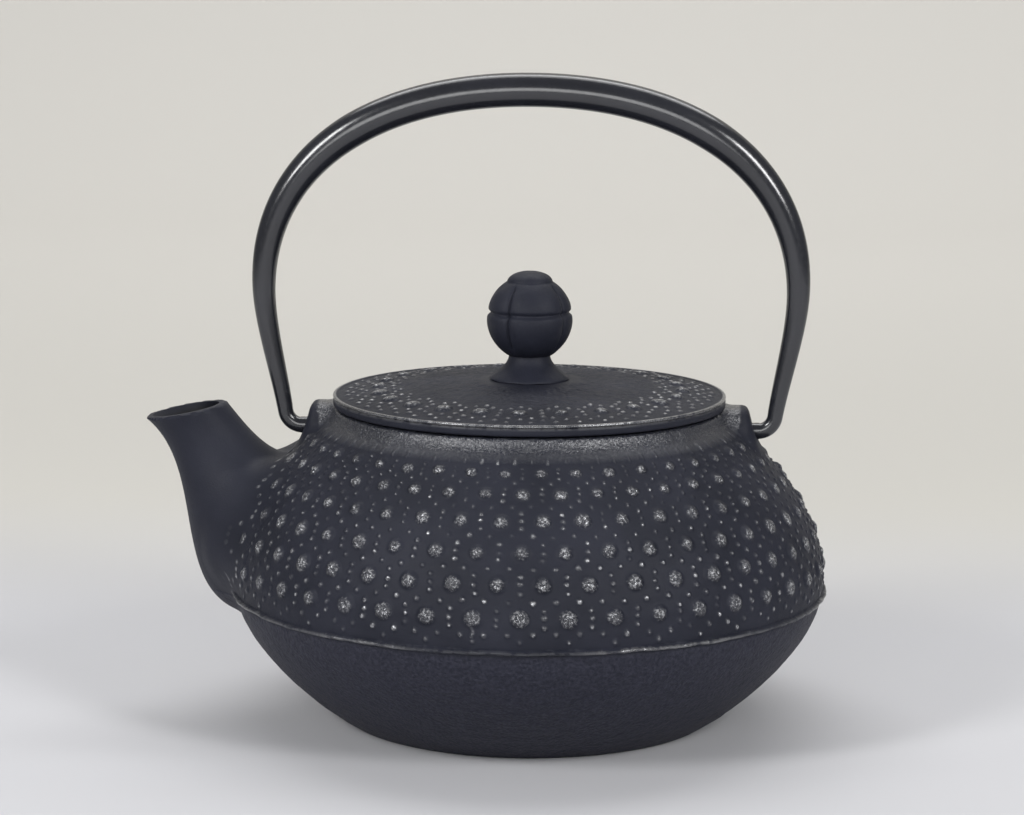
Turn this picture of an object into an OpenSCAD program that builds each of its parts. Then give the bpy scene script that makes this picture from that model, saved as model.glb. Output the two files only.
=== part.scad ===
// Cast-iron teapot with a studded shoulder: pot, lift-off lid, lift-out strainer basket
// and a folding bail handle that hooks into two lugs.
// Millimetres, Z up. The origin is the centre of the flat base, on the table.
// The spout points along -X and the handle turns about a line along X through the lugs.

/* [Pot] */
// radius of the pot over the casting ridge, its widest place
ridge_r = 77; // [70:0.5:84]
// height of the casting ridge above the table
ridge_z = 33.4; // [30:0.2:37]
// radius of the flat base
base_r = 47.2; // [40:0.2:52]
// thickness of the cast wall
wall = 3.4; // [2.6:0.1:4.5]
// height of the pot's rim, which the lid sits over
rim_z = 80.3; // [76:0.1:84]
// outer radius of the rim
rim_r = 49.9; // [46:0.1:53]
// radius of the step inside the rim, where the lid's skirt and the basket's flange go
step_r = 45.2; // [43:0.1:46]
// depth of that step below the rim
step_h = 2.7; // [2:0.1:4]
// radius of the throat below the step
throat_r = 41; // [38:0.5:43]

/* [Spout] */
// wall of the spout at its mouth
mouth_wall = 1.9; // [1.2:0.1:3]
// half width of the spout across the pot, over its half height, at the root
root_squash = 0.84; // [0.7:0.01:1]
// the same at the mouth
mouth_squash = 0.93; // [0.8:0.01:1]

/* [Lugs and hinge] */
// height of the hinge line
hinge_z = 74.5; // [73:0.1:76]
// radius of each handle hook's pin
pin_r = 2.1; // [1.8:0.05:2.4]
// clearance around the pin in its lug
pin_gap = 0.06; // [0.02:0.01:0.1]
// height of the top of a lug
lug_top_z = 80.9; // [80:0.1:82]
// half width of a lug at its foot
lug_half = 8.5; // [6:0.5:11]

/* [Handle] */
// height of the handle's centre line at the top of the arch
arch_z = 160.9; // [150:0.1:170]
// half span of the centre line at the handle's widest place
arch_half = 68.1; // [64:0.1:72]
// height of that widest place
widest_z = 110.5; // [100:0.5:120]
// tube radius at the top of the arch
tube_r = 4.45; // [3.5:0.05:5.5]
// thickness of the rolled sheet
sheet = 1.2; // [0.8:0.1:1.6]
// width of the open seam along the inside of the arch
seam = 0.7; // [0.4:0.1:1.2]

/* [Lid] */
// radius of the lid over its rim bead
lid_r = 50.2; // [48:0.1:53]
// height of the rim's lower edge
lid_z = 80.7; // [80.6:0.1:82]
// height of the rim
lid_rim_h = 2.9; // [2:0.1:4]
// height of the flat seat under the knob
seat_z = 86.6; // [85:0.1:89]
// radius of that seat
seat_r = 9.8; // [8:0.1:12]

/* [Knob] */
// height of the knob's top
knob_top = 115; // [110:0.5:120]
// radius of the knob's ball
ball_r = 10.8; // [9:0.1:12]
// number of petals round the ball
petals = 4; // [4:1:8]
// bearing of the first groove between petals
groove_at = 57; // [0:1:90]

/* [Basket] */
// outer radius of the mesh
mesh_r = 37.9; // [34:0.1:39]
// height of the basket's lower edge
basket_z = 42; // [36:0.5:50]
// thickness of the mesh
mesh_t = 0.5; // [0.3:0.05:0.6]

/* [Colours] */
// cast iron of the pot and the lid
iron = "#34363f";
// painted steel of the handle
steel = "#2a2d36";
// bare stainless steel of the basket
bright = "#b8babc";

/* [Hidden] */
$fn = 96;
eps = 0.01;

// shoulder and bowl in the half plane [radius, height], as cubic curves
bowl = [[base_r, 0], [58.1, 6.5], [74, 21.3], [ridge_r - 1.6, ridge_z - 0.6]];
shoulder = [[ridge_r - 0.7, ridge_z + 0.9], [ridge_r + 0.3, 46.2], [70.4, 61.6], [53.4, 75.3]];
// hollow collar between the shoulder and the rim
collar = [[53.4, 75.3], [51.5, 76.8], [rim_r + 0.3, 78.2], [rim_r, rim_z - 0.4]];
// half height of the lip that stands out along the ridge
ridge_h = 0.95;
floor_t = 4;

// the spout's outline seen from the side, [x, z]: along its back and along its top
spout_back = [[-73.7, 25.2], [-93.8, 30.9], [-82.7, 63.2], [-99.2, 76.2]];
spout_top = [[-55.4, 66.6], [-66.3, 64.8], [-70.7, 71], [-78.2, 80.2]];

// hook at the foot of each handle leg: it ends square to the hinge line
hook_lean = 8.9;
hook_x = 58.5;
hook_r = 4.3;
leg_foot = [hook_x + hook_r * cos(hook_lean), hinge_z + hook_r * (1 - sin(hook_lean))];
arch = [[0, arch_z], [44, arch_z], [arch_half, widest_z + 29.2], [arch_half, widest_z]];
leg = [
  [arch_half, widest_z],
  [arch_half, widest_z - 9.5],
  leg_foot + 10.2 * [sin(hook_lean), cos(hook_lean)],
  leg_foot
];
pin_in = 51.2;
// the hook is a little slimmer than its pin, which starts just inside it
hook_tube_r = pin_r - 0.06;
pin_root = 0.4;

lid_top = lid_z + lid_rim_h;
lid_field_r = lid_r - 1.4;
skirt_out = step_r - 0.6;
skirt_in = skirt_out - 3.1;
skirt_z = rim_z - step_h + 1.1;
lid_t = 3.2;
screw_r = 2.5;

flange_z = rim_z - step_h;
collar_z = 72;
band_h = 3;

// which piece to draw

// ---- curves ----

function bezier(p, t) =
  pow(1 - t, 3) * p[0] + 3 * pow(1 - t, 2) * t * p[1] + 3 * (1 - t) * t * t * p[2] + pow(t, 3) * p[3];

function unit(v) = v / norm(v);

function direction(p, t) =
  unit(pow(1 - t, 2) * (p[1] - p[0]) + 2 * (1 - t) * t * (p[2] - p[1]) + t * t * (p[3] - p[2]));

// points along a curve, each moved by off to the left of the way the curve runs
function trace(p, n, off = 0, from = 0, to = 1) = [
  for (i = [0:n])
    let (t = from + (to - from) * i / n, d = direction(p, t))
      bezier(p, t) + off * [-d.y, d.x]
];

function mix(a, b, t) = a + (b - a) * t;

function ring(r, n) = [for (i = [0:n - 1]) r * [cos(360 * i / n), sin(360 * i / n)]];

// closed skin over a list of rings that have the same number of points
module skin(rings) {
  n = len(rings[0]);
  m = len(rings);
  polyhedron(
    points = [for (one = rings) each one],
    faces = concat(
      [[for (i = [0:n - 1]) i]],
      [for (k = [0:m - 2]) for (i = [0:n - 1]) [
        k * n + i, (k + 1) * n + i, (k + 1) * n + (i + 1) % n, k * n + (i + 1) % n
      ]],
      [[for (i = [n - 1:-1:0]) (m - 1) * n + i]]
    )
  );
}

module both_sides() {
  children();
  mirror([1, 0, 0]) children();
}

// ---- pot ----

function pot_outline() = concat(
  [[0, 0]],
  trace(bowl, 22),
  [
    [ridge_r - 0.4, ridge_z - ridge_h + 0.2],
    [ridge_r, ridge_z - ridge_h / 2 + 0.1],
    [ridge_r, ridge_z + ridge_h / 2],
  ],
  trace(shoulder, 26),
  [for (p = trace(collar, 8)) if (p.y > shoulder[3].y + eps) p],
  [[rim_r - 0.4, rim_z], [step_r, rim_z], [0, rim_z]]
);

// the hollow of the pot, with its throat and the step that the lid and basket sit in
function cavity_outline() = concat(
  [[0, floor_t]],
  [for (p = trace(bowl, 22, wall)) if (p.y > floor_t) p],
  [for (p = trace(shoulder, 26, wall)) if (p.y > ridge_z + 1) p],
  [
    [throat_r + 3, flange_z - 3.2],
    [throat_r, flange_z - 2.2],
    [throat_r, flange_z],
    [step_r, flange_z],
    [step_r, rim_z + 5],
    [0, rim_z + 5]
  ]
);

// ring of the spout at t, from the root (0) to the mouth (1), thinned by skin_t on every side
function spout_ring(t, skin_t, n = 40) =
  let (
    low = bezier(spout_back, t),
    top = bezier(spout_top, t),
    mid = (low + top) / 2,
    half = norm(top - low) / 2,
    up = unit(top - low),
    wide = half * mix(root_squash, mouth_squash, t)
  ) [
    for (p = ring(1, n))
      let (a = p.x * (half - skin_t), b = p.y * (wide - skin_t))
        [mid.x + a * up.x, b, mid.y + a * up.y]
  ];

module spout() {
  skin([for (i = [0:20]) spout_ring(i / 20, 0)]);
}

module spout_channel() {
  steps = 18;
  first = spout_ring(0, wall);
  last = spout_ring(1, mouth_wall);
  skin(concat(
    [[for (p = first) p + [9, 0, -3]]],
    [for (i = [0:steps]) spout_ring(i / steps, mix(wall, mouth_wall, i / steps))],
    [[for (p = last) p + [-1, 0, 4]]]
  ));
}

// one lug on +X: a tapered ear that grows out of the collar
module lug() {
  side = [
    [46, 64],
    [61, 64],
    [58.4, 71],
    [56.2, lug_top_z - 1.4],
    [55.7, lug_top_z - 0.4],
    [54.6, lug_top_z],
    [50.9, rim_z - 0.1],
    [46, rim_z - 0.1]
  ];
  corner = 3.6;
  top_half = lug_half - 2;
  arc = [for (a = [0:15:90]) [
    top_half - corner + corner * cos(a), lug_top_z - corner + corner * sin(a)
  ]];
  front = concat(
    [[-lug_half - 1, 64], [lug_half + 1, 64], [lug_half - 0.6, 71]],
    arc,
    [for (i = [len(arc) - 1:-1:0]) [-arc[i].x, arc[i].y]],
    [[0.6 - lug_half, 71]]
  );
  intersection() {
    rotate([90, 0, 0]) linear_extrude(4 * lug_half, center = true) polygon(side);
    rotate([90, 0, 90]) linear_extrude(70) polygon(front);
  }
}

module pot_body() {
  color(iron)
    difference() {
      union() {
        rotate_extrude() polygon(pot_outline());
        spout();
        both_sides() lug();
      }
      rotate_extrude() polygon(cavity_outline());
      spout_channel();
      both_sides()
        translate([pin_in - 0.5, 0, hinge_z])
          rotate([0, 90, 0]) cylinder(r = pin_r + pin_gap, h = 12);
    }
}

// ---- handle ----

// tube radius at height z: slim at the hooks, full from most of the way up
function tube_at(z) =
  let (f = (z - leg_foot.y) / (arch_z - leg_foot.y) / 0.87)
    mix(hook_tube_r, tube_r, pow(min(max(f, 0), 1), 1.1));

// one half of the handle's centre line, as [point, direction], from the top down to the foot
function half_line() = concat(
  [for (i = [0:16]) [bezier(arch, i / 16), direction(arch, i / 16)]],
  [for (i = [1:9]) [bezier(leg, i / 9), direction(leg, i / 9)]]
);

// the hook's bend, from the foot of the leg to its end, square to the hinge line
function hook_line(n) = [
  for (i = [1:n])
    let (a = mix(-hook_lean, -90, i / n))
      [[hook_x, hinge_z + hook_r] + hook_r * [cos(a), sin(a)], [sin(a), -cos(a)]]
];

// the same line for the other leg, run from its foot up to the top
function mirrored(line) = [
  for (i = [len(line) - 1:-1:0])
    [[-line[i][0].x, line[i][0].y], [line[i][1].x, -line[i][1].y]]
];

// n points of radius r from one lip of the seam round to the other, set square to the line
function split_ring(at, r, n) =
  let (d = at[1], inward = [d.y, -d.x], lip = asin(seam / 2 / r)) [
    for (i = [0:n - 1])
      let (a = mix(lip, 360 - lip, i / (n - 1)), p = r * [cos(a), sin(a)])
        [at[0].x + p.x * inward.x, p.y, at[0].y + p.x * inward.y]
  ];

// rolled tube along line, hollow with an open seam from place a to place b and solid beyond
module rolled_tube(line, a, b) {
  n = 24;
  m = len(line);
  inner = n * m;
  outside = [for (at = line) each split_ring(at, tube_at(at[0].y), n)];
  inside = [for (k = [a:b]) each split_ring(line[k], tube_at(line[k][0].y) - sheet, n)];
  function o(k, i) = k * n + i;
  function h(k, i) = inner + (k - a) * n + i;
  polyhedron(
    points = concat(outside, inside),
    faces = concat(
      [[for (i = [0:n - 1]) o(0, i)], [for (i = [n - 1:-1:0]) o(m - 1, i)]],
      [for (k = [0:m - 2]) for (i = [0:n - 2]) [o(k, i), o(k + 1, i), o(k + 1, i + 1), o(k, i + 1)]],
      [for (k = [0:m - 2]) if (k < a || k >= b) [o(k, n - 1), o(k + 1, n - 1), o(k + 1, 0), o(k, 0)]],
      [for (k = [a:b - 1]) for (i = [0:n - 2]) [h(k, i), h(k, i + 1), h(k + 1, i + 1), h(k + 1, i)]],
      [for (k = [a:b - 1]) [o(k, 0), h(k, 0), h(k + 1, 0), o(k + 1, 0)]],
      [for (k = [a:b - 1]) [o(k, n - 1), o(k + 1, n - 1), h(k + 1, n - 1), h(k, n - 1)]],
      [[for (i = [n - 1:-1:0]) h(a, i)], [o(a, 0), o(a, n - 1), h(a, n - 1), h(a, 0)]],
      [[for (i = [0:n - 1]) h(b, i)], [h(b, 0), h(b, n - 1), o(b, n - 1), o(b, 0)]]
    )
  );
}

module handle() {
  half = half_line();
  hook = hook_line(6);
  lower = concat([for (i = [1:len(half) - 1]) half[i]], hook);
  line = concat(mirrored(lower), [half[0]], lower);
  foot = len(hook);
  color(steel) {
    rolled_tube(line, foot, len(line) - 1 - foot);
    both_sides()
      translate([pin_in, 0, hinge_z])
        rotate([0, 90, 0]) cylinder(r = pin_r, h = hook_x + pin_root - pin_in);
  }
}

// ---- lid ----

function lid_height(r) = mix(seat_z, lid_top - 0.3, pow((r - seat_r) / (lid_field_r - seat_r), 1.35));

module lid_plate() {
  n = 14;
  radii = [for (i = [0:n]) mix(seat_r, lid_field_r, i / n)];
  top = [for (r = radii) [r, lid_height(r)]];
  under = [for (r = radii) if (r < skirt_in) [r, lid_height(r) - lid_t]];
  difference() {
    color(iron)
      rotate_extrude()
        polygon(concat(
          [[0, seat_z - lid_t], [0, seat_z]],
          top,
          [
            [lid_field_r + 0.3, lid_top],
            [lid_r - 0.4, lid_top],
            [lid_r, lid_top - 0.3],
            [lid_r - 0.25, lid_top - 0.8],
            [lid_r - 0.1, lid_z + 0.3],
            [lid_r - 0.4, lid_z],
            [skirt_out, lid_z],
            [skirt_out, skirt_z + 0.3],
            [skirt_out - 0.3, skirt_z],
            [skirt_in, skirt_z],
            [skirt_in, lid_height(skirt_in) - lid_t]
          ],
          [for (i = [len(under) - 1:-1:0]) under[i]]
        ));
    translate([0, 0, seat_z - lid_t - 1]) cylinder(r = screw_r + 0.25, h = lid_t + 2);
  }
}

// share of the ball's radius left at angle a round the axis and height h over its middle
function petal(a, h) =
  let (
    gap = pow(abs(cos(petals * (a - groove_at) / 2)), 16),
    waist = exp(-pow((h - 1.4) / 0.9, 2)),
    belt = max(1 - pow(h / ball_r, 4), 0)
  ) 1 - 0.085 * gap * belt - 0.07 * waist;

// outline of the knob from its foot to its top, as [radius, height, 1 where it has petals]
function knob_outline() =
  let (
    foot_r = seat_r - 0.2,
    neck_r = 5.2,
    ball_z = knob_top - 12,
    cap_r = 5.6,
    cap_z = ball_z + 9.2,
    foot = [[foot_r, seat_z + 0.9], [foot_r - 0.6, seat_z + 3], [neck_r, seat_z + 3.5], [neck_r, seat_z + 7]]
  ) concat(
    [[foot_r - 0.3, seat_z, 0]],
    [for (p = trace(foot, 7)) [p.x, p.y, 0]],
    [for (k = [0:18]) let (a = mix(30, 148, k / 18)) [ball_r * sin(a), ball_z - 0.93 * ball_r * cos(a), 1]],
    [for (a = [0:22.5:67.5]) [cap_r * cos(a), cap_z + (knob_top - cap_z) * sin(a), 0]],
    [[0.6, knob_top, 0]]
  );

module lid_knob() {
  n = 64;
  color(iron)
    difference() {
      skin([
        for (p = knob_outline()) [
          for (i = [0:n - 1])
            let (a = 360 * i / n, r = p.x * (p.z > 0 ? petal(a, p.y - knob_top + 12) : 1))
              [r * cos(a), r * sin(a), p.y]
        ]
      ]);
      translate([0, 0, seat_z - 1]) cylinder(r = screw_r, h = 11);
    }
}

module knob_screw() {
  head_z = seat_z - lid_t - 1 - 2.8;
  color(bright)
    difference() {
      union() {
        translate([0, 0, head_z]) cylinder(r1 = 4.2, r2 = 4.7, h = 2.8);
        translate([0, 0, head_z]) cylinder(r = screw_r - 0.05, h = 2.8 + 1 + lid_t + 8.5);
      }
      translate([-6, -0.6, head_z - 1]) cube([12, 1.2, 2.3]);
    }
}

module knob_washer() {
  color(bright)
    translate([0, 0, seat_z - lid_t - 1])
      difference() {
        cylinder(r = 7, h = 1);
        translate([0, 0, -1]) cylinder(r = screw_r + 0.2, h = 3);
      }
}

// ---- basket ----

module tube(r_out, r_in, z0, z1) {
  translate([0, 0, z0])
    difference() {
      cylinder(r = r_out, h = z1 - z0);
      translate([0, 0, -1]) cylinder(r = r_in, h = z1 - z0 + 2);
    }
}

// turned-over flange that rests in the pot's step, with its short neck
module basket_collar() {
  color(bright) {
    tube(step_r - 0.5, mesh_r + 0.05, flange_z + 0.3, flange_z + 0.9);
    tube(mesh_r + 0.65, mesh_r + 0.05, collar_z, flange_z + 0.6);
  }
}

module basket_wall() {
  color(bright) tube(mesh_r, mesh_r - mesh_t, basket_z + 0.5, flange_z + 0.4);
}

module basket_floor() {
  color(bright)
    translate([0, 0, basket_z + 0.6]) cylinder(r = mesh_r - mesh_t - 0.05, h = mesh_t);
}

// folded band that clamps the floor to the wall
module basket_band() {
  color(bright) {
    tube(mesh_r + 0.55, mesh_r + 0.05, basket_z, basket_z + band_h);
    tube(mesh_r + 0.3, mesh_r - 4, basket_z, basket_z + 0.45);
  }
}

// lapped strip that joins the ends of the mesh up the side
module basket_seam() {
  color(bright)
    intersection() {
      tube(mesh_r + 0.55, mesh_r + 0.05, basket_z + band_h + 0.1, collar_z - 0.1);
      translate([30, -2.5, 40]) cube([12, 5, 40]);
    }
}

pot_body();
handle();
lid_plate();
lid_knob();
knob_screw();
knob_washer();
basket_collar();
basket_wall();
basket_floor();
basket_band();
basket_seam();
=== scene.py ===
"""Looks of the cast-iron teapot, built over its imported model.

Shapes are worked out in millimetres and built in metres in the frame of the model: Z up, the
origin at the centre of the base, the spout along -X and the handle's hinge line along X.
"""

import math

import bmesh
import bpy
import numpy as np
import openvdb
from mathutils import Matrix, Vector
from mathutils.bvhtree import BVHTree


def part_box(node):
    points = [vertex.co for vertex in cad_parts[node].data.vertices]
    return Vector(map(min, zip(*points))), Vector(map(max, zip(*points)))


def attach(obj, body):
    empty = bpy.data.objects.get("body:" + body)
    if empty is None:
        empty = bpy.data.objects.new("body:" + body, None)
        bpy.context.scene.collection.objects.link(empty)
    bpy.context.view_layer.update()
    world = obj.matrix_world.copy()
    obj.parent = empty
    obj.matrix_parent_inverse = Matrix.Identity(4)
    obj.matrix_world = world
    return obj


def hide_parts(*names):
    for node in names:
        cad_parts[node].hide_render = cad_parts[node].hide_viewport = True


MM = 0.001

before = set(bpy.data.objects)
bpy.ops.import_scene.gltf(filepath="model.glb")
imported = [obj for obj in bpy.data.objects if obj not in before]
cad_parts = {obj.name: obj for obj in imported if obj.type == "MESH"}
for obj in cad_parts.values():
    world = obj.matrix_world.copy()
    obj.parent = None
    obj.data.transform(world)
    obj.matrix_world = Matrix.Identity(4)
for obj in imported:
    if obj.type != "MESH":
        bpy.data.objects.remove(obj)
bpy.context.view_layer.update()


def box_mm(node):
    """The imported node's low and high corners in millimetres."""
    low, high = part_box(node)
    return np.array(low) / MM, np.array(high) / MM


pot_low, pot_high = box_mm("pot_body")
lid_low, lid_high = box_mm("lid_plate")
_, knob_high = box_mm("lid_knob")
_, arch_high = box_mm("handle")
screw_low, screw_high = box_mm("knob_screw")
washer_low, washer_high = box_mm("knob_washer")
collar_low, collar_high = box_mm("basket_collar")
band_low, band_high = box_mm("basket_band")
mesh_low, mesh_high = box_mm("basket_wall")
floor_low, floor_high = box_mm("basket_floor")
seam_low, seam_high = box_mm("basket_seam")

# ---- sizes, in millimetres ----

RIDGE_R = pot_high[1]  # over the casting ridge between the bowl and the shoulder
RIDGE_Z = 33.4
BASE_R = 47.2
WALL = 3.4
FLOOR_T = 4.0
RIM_R = 49.9
RIM_Z = 80.3
STEP_R, STEP_H = 45.2, 2.7  # where the lid's skirt and the basket's flange sit
THROAT_R = 41.0
LUG_TOP = pot_high[2]
HINGE_Z = 74.5
PIN_R = 2.1
PIN_GAP = 0.06
PIN_IN = 51.2  # the x that the handle's pins reach inwards to
HOOK_X, HOOK_R, HOOK_LEAN = 58.5, 4.3, math.radians(8.9)

# outlines as (radius, height) and spout edges as (x, height), each the four points of a curve
BOWL = [(BASE_R, 0), (58.1, 6.5), (74, 21.3), (RIDGE_R - 1.6, RIDGE_Z - 0.6)]
SHOULDER = [(RIDGE_R - 0.7, RIDGE_Z + 0.9), (RIDGE_R + 0.3, 46.2), (70.4, 61.6), (53.4, 75.3)]
COLLAR = [(53.4, 75.3), (51.5, 76.8), (RIM_R + 0.3, 78.2), (RIM_R, RIM_Z - 0.4)]
SPOUT_BACK = [(-73.7, 25.2), (-93.8, 30.9), (-82.7, 63.2), (pot_low[0], 76.2)]
SPOUT_TOP = [(-55.4, 66.6), (-66.3, 64.8), (-70.7, 71), (-78.2, 80.2)]
SPOUT_WIDTH = 0.84, 0.93  # of its height, at the root and at the mouth
SPOUT_WALL = WALL, 1.9

# studs on the shoulder: rows of large ones from the lowest up, each row turned half a pitch
STUDS = 42
STUD_ROWS = [41.6, 49.3, 56.4, 63.0, 68.6, 72.9]
STUD_PHASE = math.radians(-90 + 1.6)
STUD_H, STUD_R = 0.95, 2.6
DOT_H, DOT_R = 0.42, 0.76
DRIP_H = 0.32
# where the dots lie from each stud, in pitches round and in rows up
DOT_PLACES = [(0.5, -0.25), (0.5, 0), (0.5, 0.25), (0.25, 0.5), (-0.25, 0.5)]
WAVE_R = 76  # the circle on which the unevenness round the pot is worked out
FAR = 99.0  # stands for the distance to what is out of reach
INSET = 0.55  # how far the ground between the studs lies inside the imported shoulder

LID_R = lid_high[0]
LID_Z = 80.7
LID_RIM_Z = LID_Z + 2.9
LID_T = 3.2
SEAT_Z, SEAT_R = lid_high[2] + 0.6, 9.8  # the raised middle that the knob stands on
FIELD_R = LID_R - 1.4  # where the lid's top meets its rim
LID_STUDS, LID_STUD_RING = 24, 39.0
# the dots round each stud of the lid, in pitches round and by radius
LID_DOT_PLACES = [
    (0.5, 36.6), (0.5, 39.0), (0.5, 41.4), (0.25, 42.9), (-0.25, 42.9), (0.25, 35.0),
    (-0.25, 35.0), (0.0, 44.4), (0.5, 45.0), (0.0, 33.4), (0.25, 46.6), (-0.25, 46.6),
]


# ---- shape maths ----


def angles(n):
    """n angles that go once round."""
    return np.linspace(0, 2 * np.pi, n, endpoint=False)


def bezier(p, t):
    """Points of the curve with control points p, one for each t from 0 to 1."""
    p, t = np.asarray(p, float), np.asarray(t, float)[:, None]
    return (
        (1 - t) ** 3 * p[0] + 3 * (1 - t) ** 2 * t * p[1] + 3 * (1 - t) * t**2 * p[2] + t**3 * p[3]
    )


def heading(p, t):
    """The curve's unit direction at each t."""
    p, t = np.asarray(p, float), np.asarray(t, float)[:, None]
    d = (1 - t) ** 2 * (p[1] - p[0]) + 2 * (1 - t) * t * (p[2] - p[1]) + t**2 * (p[3] - p[2])
    return d / np.linalg.norm(d, axis=1, keepdims=True)


def trace(p, n, off=0.0):
    """n + 1 points along a curve in the half plane, moved by off to the left of its run."""
    t = np.linspace(0, 1, n + 1)
    d = heading(p, t)
    off = np.broadcast_to(off, t.shape)[:, None]
    return bezier(p, t) + off * np.stack([-d[:, 1], d[:, 0]], 1)


def mix(a, b, t):
    return a + (b - a) * t


def ease(a, b, x):
    """0 below a, 1 above b and smooth between."""
    t = np.clip((x - a) / (b - a), 0, 1)
    return t * t * (3 - 2 * t)


def chance(*keys):
    """A fixed number from 0 to 1 for each set of whole-number keys."""
    total = sum((np.asarray(k) * w for k, w in zip(keys, (12.9898, 78.233, 37.719))), 0.0)
    return np.modf(np.abs(np.sin(total + 4.1) * 43758.5453))[0]


def ripple(p, size, seed=0):
    """Smooth unevenness from about -1 to 1 over points in millimetres, with bumps of that size."""
    rng = np.random.default_rng(seed)
    out = np.zeros(len(p))
    for _ in range(10):
        way = rng.normal(size=3)
        way *= 2 * np.pi / size / np.linalg.norm(way) * rng.uniform(0.7, 1.4)
        out += np.sin(p @ way + rng.uniform(0, 6.28))
    return out / 3.5


# ---- mesh building ----


def mesh_object(name, verts, faces):
    """A smooth shaded object from points in millimetres."""
    me = bpy.data.meshes.new(name)
    me.from_pydata((np.asarray(verts) * MM).tolist(), [], faces)
    me.validate()
    me.shade_smooth()
    ob = bpy.data.objects.new(name, me)
    bpy.context.scene.collection.objects.link(ob)
    return ob


def grid_faces(rows, n, closed=False):
    """Quads between rows of n points that each go round, and if closed from the last row on."""
    k = np.arange(rows if closed else rows - 1)[:, None]
    i = np.arange(n)[None, :]
    nxt, up = (i + 1) % n, (k + 1) % rows
    quads = np.stack([k * n + i, k * n + nxt, up * n + nxt, up * n + i], -1)
    return quads.reshape(-1, 4).tolist()


def caps(rows, n):
    """The two end faces of an open grid."""
    last = (rows - 1) * n
    return [list(range(n - 1, -1, -1)), list(range(last, last + n))]


def skin(rings):
    """Points and faces of a closed skin over rings of equal length."""
    rows, n = len(rings), len(rings[0])
    return np.concatenate(rings), [*grid_faces(rows, n), *caps(rows, n)]


def turned(outline, turns):
    """An outline's points turned about Z."""
    r, z = outline[:, :1], outline[:, 1:]
    a = angles(turns)
    return np.stack([r * np.cos(a), r * np.sin(a), z + 0 * a], -1).reshape(-1, 3)


def turned_ring(outline, turns):
    """Points and faces of a closed ring turned from an outline that stays clear of the axis."""
    outline = np.array(outline, float)
    return turned(outline, turns), grid_faces(len(outline), turns, closed=True)


def lathe(outline, turns):
    """Points and faces of a solid turned about Z from an outline that starts and ends on it."""
    outline = np.asarray(outline, float)
    rows = len(outline) - 2
    low, top, last = rows * turns, rows * turns + 1, (rows - 1) * turns
    faces = grid_faces(rows, turns)
    faces += [[low, (i + 1) % turns, i] for i in range(turns)]
    faces += [[top, last + i, last + (i + 1) % turns] for i in range(turns)]
    ends = [[0, 0, outline[0, 1]], [0, 0, outline[-1, 1]]]
    return np.concatenate([turned(outline[1:-1], turns), ends]), faces


def joined(*solids):
    """Several (points, faces) as one."""
    verts, faces, first = [], [], 0
    for v, f in solids:
        verts.append(v)
        faces += [[i + first for i in face] for face in f]
        first += len(v)
    return np.concatenate(verts), faces


def coords(ob):
    """An object's points in millimetres."""
    out = np.empty(len(ob.data.vertices) * 3, np.float32)
    ob.data.vertices.foreach_get("co", out)
    return out.reshape(-1, 3).astype(float) / MM


def set_coords(ob, points):
    """Moves an object's points, given in millimetres."""
    ob.data.vertices.foreach_set("co", (points * MM).astype(np.float32).ravel())
    ob.data.update()


def paint(ob, name, values):
    """Stores one number a point, for the material to read."""
    layer = ob.data.attributes.new(name, "FLOAT", "POINT")
    layer.data.foreach_set("value", np.asarray(values, np.float32))


def applied(ob):
    """Turns an object's modifiers into its mesh."""
    graph = bpy.context.evaluated_depsgraph_get()
    me = bpy.data.meshes.new_from_object(ob.evaluated_get(graph))
    ob.modifiers.clear()
    ob.data = me
    return ob


def cut(ob, solid):
    """Takes a solid, as (points, faces), out of an object."""
    tool = mesh_object("cutter", *solid)
    mod = ob.modifiers.new("cut", "BOOLEAN")
    mod.operation, mod.object, mod.solver = "DIFFERENCE", tool, "MANIFOLD"
    applied(ob)
    bpy.data.objects.remove(tool)


def crisp(ob, degrees=42):
    """Smooth shading, with a hard edge where two faces meet at more than this angle."""
    ob.data.shade_smooth()
    ob.data.set_sharp_from_angle(angle=math.radians(degrees))


# ---- pot ----


def spout_sections(t):
    """The spout's middle, upward direction, half height and half width at each t."""
    low, top = bezier(SPOUT_BACK, t), bezier(SPOUT_TOP, t)
    half = np.linalg.norm(top - low, axis=1) / 2
    up = (top - low) / (2 * half[:, None])
    return (low + top) / 2, up, half, half * mix(*SPOUT_WIDTH, t)


def spout_rings(rows, n, wall=(0, 0)):
    """Rings of the spout from root to mouth, inside a wall given for its root and its mouth."""
    t, a = np.linspace(0, 1, rows), angles(n)
    rings = []
    for mid, up, half, wide, thin in zip(*spout_sections(t), mix(*wall, t)):
        x, y = np.cos(a) * (half - thin), np.sin(a) * (wide - thin)
        rings.append(np.stack([mid[0] + x * up[0], y, mid[1] + x * up[1]], 1))
    return rings


LUG_SQUARE = 0.45  # how square a lug is in plan: 1 is an ellipse
LUG_LEVELS = [  # height, inner x, outer x, half width
    (62, 47, 61.2, 9.6),
    (71, 47, 58.4, 7.9),
    (76.5, 47, 57.0, 6.7),
    (79.2, 47, 56.3, 5.4),
    (80.1, 49.4, 55.9, 4.3),
    (80.6, 51.2, 55.4, 3.3),
    (LUG_TOP, 52.2, 54.7, 2.0),
]


def lug_solid(side):
    """A lug as flat rounded rings from inside the shoulder up to its top."""
    a = angles(48)
    plan = np.stack([np.cos(a), np.sin(a)], 1)
    plan = np.sign(plan) * np.abs(plan) ** LUG_SQUARE
    rings = []
    for z, x0, x1, half in LUG_LEVELS:
        x = (x0 + x1) / 2 + (x1 - x0) / 2 * plan[:, 0]
        rings.append(np.stack([side * x, half * plan[:, 1], np.full(len(a), z)], 1))
    if side < 0:
        rings = [r[::-1] for r in rings]
    return skin(rings)


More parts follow.
